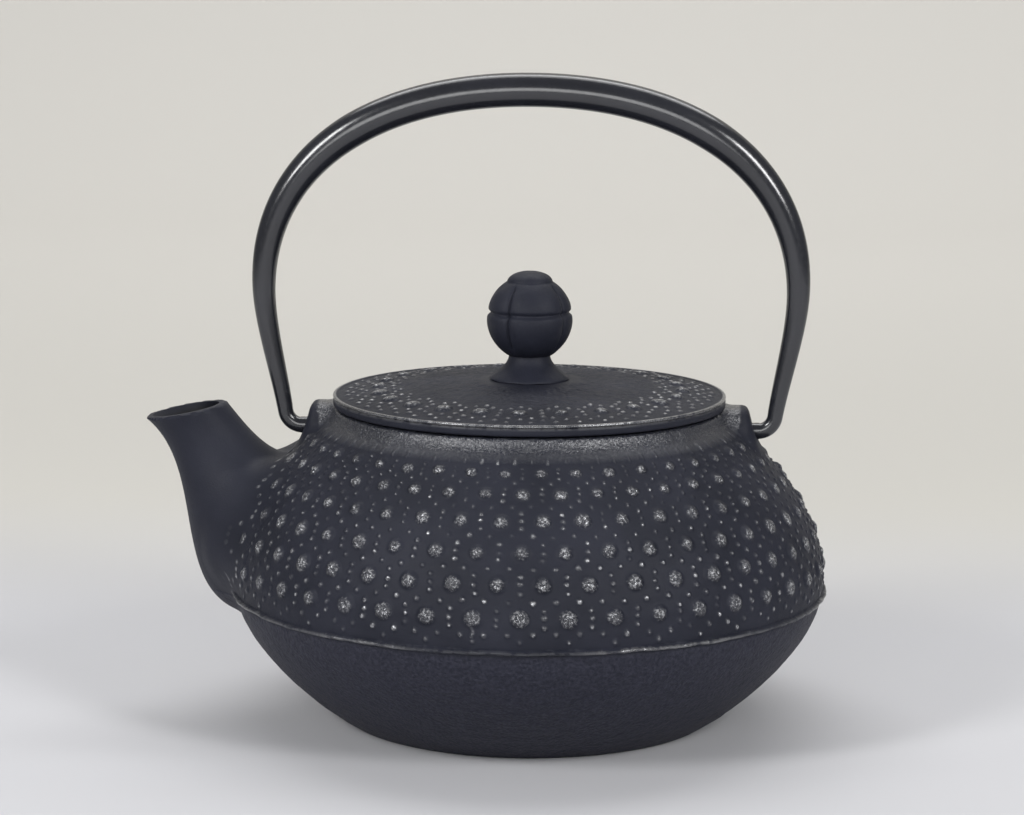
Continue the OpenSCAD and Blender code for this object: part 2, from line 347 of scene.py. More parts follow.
def ground():
    """The pot's outer outline without its studs and ridge lip, from the base to the rim."""
    n = 90
    inset = INSET * (1 - ease(0.8, 1, np.linspace(0, 1, n + 1)))
    return np.concatenate([
        trace(BOWL, 60),
        trace(SHOULDER, n, inset)[1:],
        trace(COLLAR, 24)[1:],
    ])


def cavity():
    """The hollow of the pot with its throat and step."""
    bowl = [p for p in trace(BOWL, 24, WALL) if p[1] > FLOOR_T]
    shoulder = [p for p in trace(SHOULDER, 28, WALL) if p[1] > RIDGE_Z + 1]
    flange = RIM_Z - STEP_H
    return np.array([
        (0, FLOOR_T), *bowl, *shoulder, (THROAT_R + 3, flange - 3.2), (THROAT_R, flange - 2.2),
        (THROAT_R, flange), (STEP_R, flange), (STEP_R, RIM_Z + 5), (0, RIM_Z + 5),
    ])


class Distance:
    """Signed distance in millimetres to a closed skin, negative inside it."""

    def __init__(self, solid, inside):
        verts, faces = solid
        self.tree = BVHTree.FromPolygons([Vector(v) for v in verts], faces)
        self.inside = inside

    def __call__(self, points):
        near = [self.tree.find_nearest(p) for p in points.tolist()]
        off = points - np.array([n[0] for n in near]).reshape(-1, 3)
        normal = np.array([n[1] for n in near]).reshape(-1, 3)
        dist = np.linalg.norm(off, axis=1)
        sign = np.where(self.inside(points), -1.0, 1.0)
        far = (dist > 1e-4)[:, None]
        way = np.where(far, off * (sign / np.maximum(dist, 1e-4))[:, None], normal)
        return dist * sign, way


def in_spout(p):
    """Whether each point lies in the spout, between its rings."""
    mid, up, half, wide = spout_sections(np.linspace(0, 1, 60))
    onward = np.stack([-up[:, 1], up[:, 0]], 1)
    xz = p[:, [0, 2]]
    out = np.zeros(len(p), bool)
    past = (xz - mid[0]) @ onward[0]
    for i in range(len(mid) - 1):
        ahead = (xz - mid[i + 1]) @ onward[i + 1]
        between = (past >= 0) & (ahead < 0)
        w = (past / np.where(between, past - ahead, 1))[:, None]
        at = xz - mix(mid[i], mid[i + 1], w)
        along = (at * mix(up[i], up[i + 1], w)).sum(1) / mix(half[i], half[i + 1], w[:, 0])
        across = p[:, 1] / mix(wide[i], wide[i + 1], w[:, 0])
        out |= between & (along**2 + across**2 < 1)
        past = ahead
    return out


def in_lugs(p):
    """Whether each point lies in either lug."""
    z, inner, outer, half = np.array(LUG_LEVELS, float).T
    x0, x1, wide = (np.interp(p[:, 2], z, v) for v in (inner, outer, half))
    u = (np.abs(p[:, 0]) - (x0 + x1) / 2) / ((x1 - x0) / 2)
    round_ = np.abs(u) ** (2 / LUG_SQUARE) + np.abs(p[:, 1] / wide) ** (2 / LUG_SQUARE)
    return (round_ < 1) & (p[:, 2] > z[0]) & (p[:, 2] < z[-1])


def by_spout(p, x=-46, y=28, z=16):
    """Which points are near enough to the spout for it to matter."""
    return (p[..., 0] < x) & (np.abs(p[..., 1]) < y) & (p[..., 2] > z)


def by_lugs(p, x=42, y=17, z=58):
    """Which points are near enough to a lug for it to matter."""
    return (np.abs(p[..., 0]) > x) & (np.abs(p[..., 1]) < y) & (p[..., 2] > z)


def turned_distance(outline, points):
    """Signed distance from points to the surface turned from an outline, and its direction."""
    step = np.gradient(outline, axis=0)
    step /= np.linalg.norm(step, axis=1, keepdims=True)
    out = np.stack([step[:, 1], -step[:, 0]], 1)
    r = np.hypot(points[:, 0], points[:, 1])
    rz = np.stack([r, points[:, 2]], 1)
    near = np.concatenate([
        ((part[:, None] - outline[None]) ** 2).sum(-1).argmin(1)
        for part in np.array_split(rz, max(1, len(rz) // 4000))
    ])
    d = ((rz - outline[near]) * out[near]).sum(1)
    flat = points[:, :2] * (out[near, 0] / np.maximum(r, 1e-9))[:, None]
    return d, np.column_stack([flat, out[near, 1]])


def smooth_union(a, b, k):
    """The lower of two distances, rounded over a fillet of about k millimetres."""
    h = np.maximum(k - np.abs(a - b), 0) / k
    return np.minimum(a, b) - h * h * k / 4


def blended(a, b, k):
    """Smooth union of two (distance, direction) pairs."""
    (da, na), (db, nb) = a, b
    h = np.maximum(k - np.abs(da - db), 0) / k
    share = np.where(da < db, 1 - h / 2, h / 2)[:, None]
    return smooth_union(da, db, k), na * share + nb * (1 - share)


LUG_FILLET = 3.2
LUG_END = 68  # well past the outer face of a lug


def spout_fillet(p):
    """How wide the spout's fillet is at each point: small on top and below, wide at the sides."""
    side = mix(3.0, 14.0, ease(2, 15, np.abs(p[:, 1])))
    return mix(2.5, side, ease(RIDGE_Z - 5, RIDGE_Z + 10, p[:, 2]))


def stud_field(phi, s, r, rows):
    """Height of the studs and dots at angle phi and distance s up the shoulder, in millimetres.

    Also gives how much of each point is stud top, and how much is dot, from 0 to 1.
    """
    pitch = 2 * np.pi / STUDS
    across = pitch * r
    u = (phi - STUD_PHASE) / pitch
    levels = np.arange(len(rows))

    def level_at(w):
        return np.interp(w, [-1, *levels, len(rows)], [-0.4, *rows, rows[-1] + 6.0])

    height, top, dot = np.zeros(len(phi)), np.zeros(len(phi)), np.zeros(len(phi))
    scale = np.clip(r / 74, 0.7, 1.02)
    for j in levels:
        column = u - 0.5 * (j % 2)
        i = np.round(column)
        lucky = chance(i % STUDS, j)
        dx = (column - i) * across + 0.35 * (chance(i % STUDS, j, 3) - 0.5)
        dy = s - rows[j] - 0.4 * (chance(i % STUDS, j, 5) - 0.5)
        size = STUD_R * scale * (0.92 + 0.16 * lucky)
        q = np.hypot(dx, dy * 1.04) / size
        dome = np.maximum(1 - q**2, 0) ** 1.25
        lift = STUD_H * scale * (0.85 + 0.3 * chance(i % STUDS, j, 7)) * dome
        height = np.maximum(height, lift)
        top = np.maximum(top, ease(0.85, 0.35, q + 0.25 * (chance(i % STUDS, j, 15) - 0.5)))
        if j == 0:  # here and there a run of iron hangs from a stud of the lowest row
            run = (chance(i % STUDS, 11) > 0.62) * (2.2 + 3.4 * chance(i % STUDS, 13))
            along = -dy - size * 0.7
            wave = 0.3 * np.sin(along * 1.7 + 6 * lucky)
            drip = np.exp(-(((dx - wave) / 0.42) ** 2)) * ((along > 0) & (along < run))
            height = np.maximum(height, DRIP_H * drip)
            dot = np.maximum(dot, drip)
    for j in range(-1, len(rows) + 1):
        for kind, (du, dw) in enumerate(DOT_PLACES):
            spot = j + dw
            if not -0.8 < spot < len(rows) - 0.2:
                continue
            column = u - 0.5 * (j % 2) - du
            i = np.round(column)
            key = (i % STUDS, 17 * (j + 2) + kind)
            dx = (column - i) * across + 0.5 * (chance(*key, 3) - 0.5)
            dy = s - level_at(spot) - 0.5 * (chance(*key, 5) - 0.5)
            size = DOT_R * scale * (0.8 + 0.4 * chance(*key, 7))
            q = np.hypot(dx, dy) / size
            bump = np.maximum(1 - q**2, 0) ** 0.75 * (0.7 + 0.5 * chance(*key, 9))
            height = np.maximum(height, DOT_H * bump * scale)
            dot = np.maximum(dot, bump)
    return height, top, np.minimum(dot, 1)


GRID = 0.8  # the spacing of the points that the cast skin is worked out on
BAND = 3.0  # how far from the skin the distances are kept
TABLE_STEP, TABLE_R = 0.25, 140  # the table of distances by radius and height


def cast_skin(outline, to_spout, to_lugs):
    """Points and faces of the pot's outside, with the spout and the lugs blended in."""
    axes = [np.arange(a, b, GRID) for a, b in zip(pot_low - 2.9, pot_high + 3.0)]
    r, z = np.meshgrid(np.arange(0, TABLE_R, TABLE_STEP), axes[2], indexing="ij")
    flat = np.stack([r.ravel() + 1e-6, 0 * r.ravel(), z.ravel()], 1)
    table = turned_distance(outline, flat)[0].reshape(r.shape)
    table = np.maximum(table, np.maximum(z - RIM_Z, -z))
    spot = np.hypot(axes[0][:, None], axes[1][None, :]) / TABLE_STEP
    near = spot.astype(int)
    share = (spot - near)[..., None]
    d = table[near] * (1 - share) + table[near + 1] * share
    points = np.stack(np.meshgrid(*axes, indexing="ij"), -1)
    reach = by_spout(points) & (d > -5)
    p = points[reach]
    d[reach] = smooth_union(d[reach], to_spout(p)[0], spout_fillet(p))
    reach = by_lugs(points) & (np.abs(points[..., 0]) < LUG_END) & (d > -5)
    d[reach] = smooth_union(d[reach], to_lugs(points[reach])[0], LUG_FILLET)
    grid = openvdb.FloatGrid(BAND)
    grid.copyFromArray(np.clip(d, -BAND, BAND).astype(np.float32))
    points, quads = grid.convertToQuads(0.0)
    return points * GRID + [axis[0] for axis in axes], quads.tolist()


def settled(p, outline, to_spout, to_lugs):
    """Moves points by a hair onto the exact shape that the grid stands for."""
    d, way = turned_distance(outline, p)
    near_spout, near_lugs = by_spout(p), by_lugs(p)
    for mask, distance in ((near_spout, to_spout), (near_lugs, to_lugs)):
        k = spout_fillet(p[mask]) if distance is to_spout else LUG_FILLET
        d[mask], way[mask] = blended((d[mask], way[mask]), distance(p[mask]), k)
    size = np.linalg.norm(way, axis=1)
    free = ease(RIM_Z + 0.1, RIM_Z - 0.6, p[:, 2]) * ease(0.2, 1.0, p[:, 2])
    free = np.maximum(free, near_lugs | (p[:, 0] < -78))
    move = np.clip(d, -0.3, 0.3) * free * (np.abs(d) < 0.9) * (size > 0.6)
    return p - move[:, None] * way / np.maximum(size, 0.6)[:, None]


def up_shoulder(z):
    """How far up the shoulder's outline each height lies."""
    run = trace(SHOULDER, 400, INSET)
    length = np.concatenate([[0], np.cumsum(np.linalg.norm(np.diff(run, axis=0), axis=1))])
    return np.interp(z, run[:, 1], length)


def studs_at(p):
    """The studs' height and the two masks at each point."""
    r, phi = np.hypot(p[:, 0], p[:, 1]), np.arctan2(p[:, 1], p[:, 0])
    return stud_field(phi, up_shoulder(p[:, 2]), r, up_shoulder(STUD_ROWS))


def outward(p):
    """The level direction away from the axis at each point."""
    phi = np.arctan2(p[:, 1], p[:, 0])
    return np.stack([np.cos(phi), np.sin(phi), 0 * phi], 1)


def refine_shoulder(ob):
    """Splits the faces where the studs go."""
    bm = bmesh.new()
    bm.from_mesh(ob.data)
    edges = []
    for edge in bm.edges:
        m = (edge.verts[0].co + edge.verts[1].co) * (0.5 / MM)
        if RIDGE_Z - 2 < m.z < 77.5 and m.x > -88 and math.hypot(m.x, m.y) > 50:
            edges.append(edge)
    bmesh.ops.subdivide_edges(bm, edges=edges, cuts=1, use_grid_fill=True)
    bm.to_mesh(ob.data)
    bm.free()


def raise_relief(ob, outline, to_spout, to_lugs):
    """Raises the studs, the dots and the ridge lip, and roughens the casting a little."""
    p = settled(coords(ob), outline, to_spout, to_lugs)
    d, way = turned_distance(outline, p)
    z, out = p[:, 2], outward(p)
    on_pot = ease(1.2, 0.5, np.abs(d))
    height, top, _ = studs_at(p)
    from_spout, from_lugs = np.full(len(p), FAR), np.full(len(p), FAR)
    side = by_spout(p, -40, 46, RIDGE_Z - 3)
    from_spout[side] = to_spout(p[side])[0]
    ears = by_lugs(p, y=20)
    from_lugs[ears] = to_lugs(p[ears])[0]
    fade = ease(1.0, 4.5, from_spout) * ease(0.6, 2.4, from_lugs) * on_pot
    fade *= ease(RIDGE_Z + 0.8, RIDGE_Z + 1.8, z) * ease(76.6, 75.6, z)
    lip_z = RIDGE_Z + 0.12 * ripple(WAVE_R * out, 9, 4)
    lip = np.exp(-(((z - lip_z) / 0.55) ** 4)) * ease(1.2, 5.0, from_spout)
    lip *= (np.hypot(p[:, 0], p[:, 1]) > 70) & (d < 2)
    lip_h = 1.15 + 0.12 * ripple(WAVE_R * out, 4, 8)
    rough = 0.05 * ripple(p, 5, 1) * ease(0, 2, z)
    crumble = 0.16 * top * ripple(p, 1.5, 2) + 0.08 * ripple(p, 2.4, 6) * ease(0, 0.5, height)
    p += way * ((height + crumble) * fade + rough * on_pot)[:, None]
    p += out * (lip * lip_h)[:, None]
    set_coords(ob, p)


def hollow(ob):
    """Cuts the cavity, the spout's channel and the two bores for the handle's pins."""
    cut(ob, lathe(cavity(), 192))
    inner = spout_rings(20, 48, SPOUT_WALL)
    cut(ob, skin([inner[0] + [9, 0, -3], *inner, inner[-1] + [-1, 0, 4]]))
    a = angles(48)
    bore = (PIN_R + PIN_GAP) * np.stack([0 * a, np.cos(a), np.sin(a)], 1) + [0, 0, HINGE_Z]
    inmost, outmost = PIN_IN - 0.5, 66
    for start, end in ((inmost, outmost), (-outmost, -inmost)):
        cut(ob, skin([bore + [x, 0, 0] for x in (start, end)]))


def bare_metal_and_light_masks(ob, outline, to_spout, to_lugs):
    """Paints the masks that the material reads: the stud and dot tops, partly bare metal and partly
    painted glints; the ridge lip, partly rubbed bare and partly a painted highlight; where the bowl
    and collar are, the collar for a painted sheen; and what is inside, for painted shade.
    """
    p = coords(ob)
    d, _ = turned_distance(outline, p)
    z, r = p[:, 2], np.hypot(p[:, 0], p[:, 1])
    _, top, dot = studs_at(p)
    outer = ease(-1.2, -0.4, d)
    raised = ease(0.1, 0.35, d) * outer * ease(1.9, 1.5, d)
    raised *= ease(RIDGE_Z + 1.2, RIDGE_Z + 2.2, z) * ease(77, 76, z)
    clear = np.ones(len(p))
    side = by_spout(p, -50, 40, -math.inf)
    clear[side] = ease(1.5, 4.5, to_spout(p[side])[0])
    ears = by_lugs(p, y=18, z=60)
    clear[ears] *= ease(0.6, 2.4, to_lugs(p[ears])[0])
    # the stud tops, which the material makes pale: partly bare metal, partly painted glints
    paint(ob, "stud", top * raised * clear)
    # the dot tops, which the material gives painted glints
    dot *= ease(0.1, 0.3, d) * outer * ease(RIDGE_Z + 1, RIDGE_Z + 1.6, z)
    paint(ob, "dot", dot * clear * ease(76.4, 75.4, z))
    # the ridge lip is made pale in places: partly rubbed bare, partly a painted highlight line
    edge = ease(0.7, 1.1, d) * ease(1.2, 0.7, np.abs(z - RIDGE_Z)) * (p[:, 0] > -79)
    edge *= (0.2 + 0.8 * ease(-0.1, 0.5, ripple(WAVE_R * outward(p), 60, 12))) * clear
    paint(ob, "lip", edge)
    paint(ob, "bowl", ease(RIDGE_Z - 0.6, RIDGE_Z - 1.4, z) * outer)
    # the collar, which the material gives a painted sheen
    paint(ob, "collar", ease(74.0, 77.6, z) * outer * (r < 54))
    # the inside, which the material paints near black as shade
    inside = ease(-1.0, -2.0, d) * (p[:, 0] > -60)
    side = by_spout(p, -56, 26, -math.inf)
    inside[side] = np.maximum(inside[side], ease(-0.5, -1.3, to_spout(p[side])[0]))
    paint(ob, "inside", inside)


def pot():
    outline = ground()
    to_spout = Distance(skin(spout_rings(46, 72)), in_spout)
    to_lugs = Distance(joined(lug_solid(1), lug_solid(-1)), in_lugs)
    ob = mesh_object("teapot_body", *cast_skin(outline, to_spout, to_lugs))
    refine_shoulder(ob)
    raise_relief(ob, outline, to_spout, to_lugs)
    hollow(ob)
    crisp(ob)
    bare_metal_and_light_masks(ob, outline, to_spout, to_lugs)
    return ob


# ---- lid ----


def lid_height(r):
    """Height of the lid's top at each radius, without its relief."""
    t = np.clip((r - SEAT_R) / (FIELD_R - SEAT_R), 0, 1)
    return mix(SEAT_Z, LID_RIM_Z - 0.3, t**1.35)


def lid_outline():
    """Closed outline of the lid: top, rolled rim, underside, skirt and the hole for the screw."""
    top = [(r, lid_height(r)) for r in np.linspace(SEAT_R, FIELD_R, 82)]
    skirt_out = STEP_R - 0.6
    skirt_in = skirt_out - 3.1
    skirt_z = lid_low[2]
    under = [(r, lid_height(r) - LID_T) for r in np.linspace(skirt_in, SEAT_R, 12)]
    hole_r = 2.75
    t = np.linspace(0, np.pi, 9)
    bead = [(LID_R - 0.45 + 0.5 * np.sin(a), LID_RIM_Z - 0.4 + 0.4 * np.cos(a)) for a in t[1:]]
    return np.array([
        (hole_r, SEAT_Z), (6.0, SEAT_Z), *top,
        (FIELD_R + 0.25, LID_RIM_Z - 0.22), (FIELD_R + 0.5, LID_RIM_Z - 0.05),
        (LID_R - 0.45, LID_RIM_Z), *bead, (LID_R - 0.3, LID_RIM_Z - 0.95),
        (LID_R - 0.08, LID_RIM_Z - 1.1), (LID_R - 0.02, LID_RIM_Z - 1.5),
        (LID_R - 0.06, LID_Z + 0.5), (LID_R - 0.22, LID_Z + 0.12), (LID_R - 0.6, LID_Z),
        (skirt_out + 0.2, LID_Z), (skirt_out, LID_Z - 0.15), (skirt_out, skirt_z + 0.35),
        (skirt_out - 0.3, skirt_z), (skirt_in + 0.2, skirt_z), (skirt_in, skirt_z + 0.2),
        *under, (hole_r, SEAT_Z - LID_T),
    ])[::-1]


def lid():
    ob = mesh_object("teapot_lid", *turned_ring(lid_outline(), LID_STUDS * 26))
    p = coords(ob)
    r, phi = np.hypot(p[:, 0], p[:, 1]), np.arctan2(p[:, 1], p[:, 0])
    upper = (p[:, 2] > lid_height(r) - 0.6) & (r < FIELD_R + 0.1)
    pitch = 2 * np.pi / LID_STUDS
    u = (phi - STUD_PHASE + math.radians(1.8)) / pitch
    height, dots = np.zeros(len(p)), np.zeros(len(p))

    def spots(du, radius, size, tall, key):
        """Raises one spot a pitch at that radius, and gives how much of each point is its top."""
        nonlocal height
        column = u - du
        i = np.round(column)
        n = i % LID_STUDS
        dx = (column - i) * pitch * r + 0.5 * (chance(n, key, 3) - 0.5)
        dy = r - radius - 0.6 * (chance(n, key, 5) - 0.5)
        q = np.hypot(dx, dy) / (size * (0.85 + 0.3 * chance(n, key)))
        height = np.maximum(height, tall * np.sqrt(np.maximum(1 - q**2.2, 0)))
        return ease(1.0, 0.5, q)

    studs = spots(0, LID_STUD_RING, 2.1, 0.85, 1)
    for key, (du, radius) in enumerate(LID_DOT_PLACES):
        dots = np.maximum(dots, spots(du, radius, 0.75, 0.42, key + 5))
    # the middle is a puckered skin that fades to smooth under the knob
    middle = ease(34.5, 31.5, r) * ease(11.5, 16, r)
    plane = np.stack([p[:, 0], p[:, 1], 0 * r], 1)
    fold = np.abs(ripple(plane, 3.4, 21)) * 0.5 + np.abs(ripple(plane, 2.1, 22)) * 0.3
    height += middle * np.clip(fold, 0, 0.9) * 0.42
    p[:, 2] += np.where(upper, height + 0.04 * ripple(p, 7, 3), 0)
    set_coords(ob, p)
    crisp(ob, 50)
    # the stud and dot tops, which the material makes pale with painted glints
    paint(ob, "stud", np.where(upper, studs, 0))
    paint(ob, "dot", np.where(upper, dots, 0))
    # the rim's bead is made pale: partly rubbed bare, partly a painted highlight line
    on_rim = (p[:, 2] > LID_RIM_Z - 1.15) & (r > LID_R - 0.75)
    paint(ob, "lip", np.where(on_rim, ease(LID_RIM_Z - 1.3, LID_RIM_Z - 0.6, p[:, 2]), 0))
    return ob


# ---- knob ----

BALL_R, BALL_Z = 11.0, knob_high[2] - 12
NECK_R, CAP_R, CAP_Z = 5.2, 5.85, BALL_Z + 9.1
PETALS, GROOVE_AT = 4, math.radians(60)
WAIST = 1.5  # how far above its middle the ball is creased all round


def knob():
    foot_r = SEAT_R + 0.3
    foot = [
        (foot_r, SEAT_Z + 0.4), (foot_r - 2.0, SEAT_Z + 2.6),
        (NECK_R, SEAT_Z + 3.5), (NECK_R, SEAT_Z + 7),
    ]
    ball = [
        (BALL_R * math.sin(a), BALL_Z - BALL_R * math.cos(a))
        for a in np.radians(np.linspace(30, 145, 80))
    ]
    cap = [
        (CAP_R * math.cos(a), mix(CAP_Z, knob_high[2], math.sin(a)))
        for a in np.radians(np.linspace(4, 84, 16))
    ]
    sole = [(0, SEAT_Z), (foot_r - 0.4, SEAT_Z), (foot_r, SEAT_Z + 0.15)]
    verts, faces = lathe([*sole, *trace(foot, 24), *ball, *cap, (0, knob_high[2])], 384)
    r, a = np.hypot(verts[:, 0], verts[:, 1]), np.arctan2(verts[:, 1], verts[:, 0])
    h = verts[:, 2] - BALL_Z
    on_ball = ease(-9.0, -6.5, h) * ease(9.1, 7.8, h)
    gap = np.abs(np.cos(PETALS * (a - GROOVE_AT) / 2))
    groove = np.exp(-(((1 - gap) / 0.004) ** 0.7))
    waist = np.exp(-(((h - WAIST) / 0.55) ** 2))
    shrink = on_ball * (0.07 * groove + 0.035 * gap**12) + 0.065 * waist
    round_edge = 0.02 * np.exp(-(((h - WAIST) / 1.6) ** 2))
    r = r * (1 - shrink - round_edge * (waist < 0.99))
    verts[:, 0], verts[:, 1] = r * np.cos(a), r * np.sin(a)
    way = verts / np.linalg.norm(verts, axis=1, keepdims=True)
    verts += 0.05 * ripple(verts, 4, 31)[:, None] * way
    ob = mesh_object("lid_knob_cast", verts, faces)
    a = angles(48)
    hole = 2.5 * np.stack([np.cos(a), np.sin(a), 0 * a], 1)
    cut(ob, skin([hole + [0, 0, z] for z in (SEAT_Z - 1, SEAT_Z + 10)]))
    crisp(ob, 60)
    return ob


# ---- handle ----

TUBE_R, TUBE_WALL, TUBE_SEAM = 4.45, 1.2, 0.7
HOOK_STEPS = 14


def handle_line(n_arch, n_leg):
    """Half of the handle's centre line from the top to the hook's end: points, headings, radii."""
    hook_mid = np.array([HOOK_X, HINGE_Z + HOOK_R])
    foot = hook_mid + HOOK_R * np.array([math.cos(HOOK_LEAN), -math.sin(HOOK_LEAN)])
    half, wide_z = 68.1, 110.5
    top = arch_high[2] - TUBE_R
    arch = [(0, top), (44, top), (half, wide_z + 29.2), (half, wide_z)]
    down = 10.2 * np.array([math.sin(HOOK_LEAN), math.cos(HOOK_LEAN)])
    leg = [(half, wide_z), (half, wide_z - 9.5), foot + down, foot]
    ta, tl = np.linspace(0, 1, n_arch + 1), np.linspace(0, 1, n_leg + 1)[1:]
    a = np.linspace(-HOOK_LEAN, -math.pi / 2, HOOK_STEPS + 1)[1:]
    round_hook = np.stack([np.cos(a), np.sin(a)], 1)
    hook = hook_mid + HOOK_R * round_hook
    points = np.concatenate([bezier(arch, ta), bezier(leg, tl), hook])
    ways = np.concatenate([heading(arch, ta), heading(leg, tl), round_hook[:, ::-1] * [1, -1]])
    f = np.clip((points[:, 1] - foot[1]) / (top - foot[1]) / 0.87, 0, 1)
    return points, ways, mix(PIN_R - 0.06, TUBE_R, f**1.1)


def handle():
    """A tube rolled from sheet, open along its seam down to the solid hooks, and its two pins."""
    points, ways, radii = handle_line(56, 30)
    points = np.concatenate([points[:0:-1] * [-1, 1], points])
    ways = np.concatenate([ways[:0:-1] * [1, -1], ways])
    radii = np.concatenate([radii[:0:-1], radii])
    m, n = len(points), 48

    def ring(k, r):
        """Round the tube from one lip of the seam to the other, a little flat beside the seam."""
        lip = math.asin(TUBE_SEAM / 2 / r)
        a = np.linspace(lip, 2 * np.pi - lip, n)
        d = ways[k]
        tuck = 1 - 0.06 * np.exp(-((np.minimum(a, 2 * np.pi - a) / 0.45) ** 2))
        x, y = r * tuck * np.cos(a), r * tuck * np.sin(a)
        return np.stack([points[k][0] + x * d[1], y, points[k][1] - x * d[0]], 1)

    first, last = HOOK_STEPS + 1, m - 2 - HOOK_STEPS  # the rings that the tube is hollow between
    outside = [ring(k, radii[k]) for k in range(m)]
    inside = [ring(k, radii[k] - TUBE_WALL) for k in range(first, last + 1)]
    verts = np.concatenate([*outside, *inside])
    faces = []

    def o(k, i):
        """Index of a point on the outside."""
        return k * n + i

    def h(k, i):
        """Index of a point in the hollow."""
        return m * n + (k - first) * n + i

    for k in range(m - 1):
        faces += [[o(k, i), o(k, i + 1), o(k + 1, i + 1), o(k + 1, i)] for i in range(n - 1)]
        if k < first or k >= last:
            faces.append([o(k, n - 1), o(k, 0), o(k + 1, 0), o(k + 1, n - 1)])
        else:
            faces += [[h(k, i), h(k + 1, i), h(k + 1, i + 1), h(k, i + 1)] for i in range(n - 1)]
            faces.append([o(k, 0), o(k + 1, 0), h(k + 1, 0), h(k, 0)])
            faces.append([o(k, n - 1), h(k, n - 1), h(k + 1, n - 1), o(k + 1, n - 1)])
    faces += [[o(0, i) for i in range(n - 1, -1, -1)], [o(m - 1, i) for i in range(n)]]
    faces += [
        [h(first, i) for i in range(n)],
        [h(first, 0), h(first, n - 1), o(first, n - 1), o(first, 0)],
        [h(last, i) for i in range(n - 1, -1, -1)],
        [h(last, 0), o(last, 0), o(last, n - 1), h(last, n - 1)],
    ]
    a = angles(40)
    stops = [(PIN_IN, PIN_R - 0.4), (PIN_IN + 0.4, PIN_R), (HOOK_X + 0.4, PIN_R)]
    pins = []
    for side in (1, -1):
        disc = np.stack([0 * a, np.cos(a), side * np.sin(a)], 1)
        pins.append(skin([disc * r + [side * x, 0, HINGE_Z] for x, r in stops]))
    ob = mesh_object("bail_handle", *joined((verts, faces), *pins))
    crisp(ob, 50)
    return ob


# ---- lid screw, washer and basket ----


def turned_piece(name, outline, turns=128):
    """A ring as an object, turned from an outline that stays clear of the axis."""
    ob = mesh_object(name, *turned_ring(outline, turns))
    crisp(ob, 40)
    return ob


def screw():
    """A slotted pan head and a threaded shank."""
    low, high = screw_low[2], screw_high[2]
    head_r, head_h, r = screw_high[0], 2.8, 2.45
    pitch, thread = 0.8, 0.35
    outline = [(0, low), (head_r - 0.9, low), (head_r - 0.5, low + 0.25), (head_r - 0.1, low + 1.2)]
    outline += [(head_r, low + head_h - 0.3), (head_r - 0.2, low + head_h), (r, low + head_h)]
    z = low + head_h + 4.4
    while z < high - 1:
        outline += [(r, z), (r - thread, z + pitch / 2)]
        z += pitch
    verts, faces = lathe([*outline, (r, high - 0.5), (r - 0.5, high), (0, high)], 96)
    ob = mesh_object("knob_screw_steel", verts, faces)
    x, y = 6.0, 0.6
    slot = np.array([(-x, -y), (x, -y), (x, y), (-x, y)])
    cut(ob, skin([np.column_stack([slot, np.full(4, z)]) for z in (low - 1, low + 1.3)]))
    crisp(ob, 35)
    return ob


def washer():
    low, high, r, hole = washer_low[2], washer_high[2], washer_high[0], 2.7
    return turned_piece("knob_washer_steel", [
        (hole, low + 0.1), (hole + 0.1, low), (r - 0.2, low), (r, low + 0.2),
        (r, high - 0.1), (r - 0.1, high), (hole + 0.1, high), (hole, high - 0.1),
    ])


def wire(path, radius, sides=4, closed=False):
    """Points and faces of a wire along a path of points."""
    path = np.asarray(path, float)
    run = np.roll(path, -1, 0) - np.roll(path, 1, 0) if closed else np.gradient(path, axis=0)
    run /= np.linalg.norm(run, axis=1, keepdims=True)
    level = abs(run[0, 2]) < 0.7
    guide = np.array([0, 0, 1.0] if level else [path[0, 0], path[0, 1], 0.0])
    side = np.cross(run, guide)
    side /= np.linalg.norm(side, axis=1, keepdims=True)
    up = np.cross(side, run)
    a = angles(sides)
    verts = path[:, None] + radius * (
        np.cos(a)[None, :, None] * side[:, None] + np.sin(a)[None, :, None] * up[:, None]
    )
    faces = grid_faces(len(path), sides, closed=closed)
    return verts.reshape(-1, 3), faces if closed else [*faces, *caps(len(path), sides)]


WIRE_R, WIRE_PITCH = 0.2, 1.55


def basket_wall():
    """Woven mesh: upright wires and rings that pass over and under each other."""
    low, high = mesh_low[2] + 0.2, mesh_high[2] - 0.1
    mid = mesh_high[0] - 0.3
    n = int(2 * np.pi * mid / WIRE_PITCH / 2) * 2
    rows = int((high - low) / WIRE_PITCH)
    z = np.linspace(low, high, 4 * rows + 1)
    wires = []
    for i in range(n):
        a = 2 * np.pi * i / n
        r = mid + WIRE_R * 0.95 * np.cos(np.pi * ((z - low) / (high - low) * rows - 0.5 + i))
        wires.append(wire(np.stack([r * math.cos(a), r * math.sin(a), z], 1), WIRE_R))
    a = angles(3 * n)
    for k in range(rows):
        level = low + (k + 0.5) * (high - low) / rows
        r = mid - WIRE_R * 0.95 * np.cos(np.pi * (a / (2 * np.pi) * n + k))
        ring = np.stack([r * np.cos(a), r * np.sin(a), 0 * a + level], 1)
        wires.append(wire(ring, WIRE_R, closed=True))
    return mesh_object("basket_wall_mesh", *joined(*wires))


def basket_floor():
    """Woven mesh: two sets of straight wires that pass over and under each other."""
    mid, reach = (floor_low[2] + floor_high[2]) / 2, floor_high[0] - 0.25
    count = int(reach / WIRE_PITCH)
    wires = []
    for i in range(-count, count + 1):
        off = i * WIRE_PITCH
        end = math.sqrt(reach**2 - off**2)
        t = np.linspace(-end, end, max(3, int(end / WIRE_PITCH * 6)))
        wave = WIRE_R * 0.9 * np.cos(np.pi * (t / WIRE_PITCH + i))
        wires.append(wire(np.stack([t, 0 * t + off, mid + wave], 1), WIRE_R))
        wires.append(wire(np.stack([0 * t + off, t, mid - wave], 1), WIRE_R))
    return mesh_object("basket_floor_mesh", *joined(*wires))


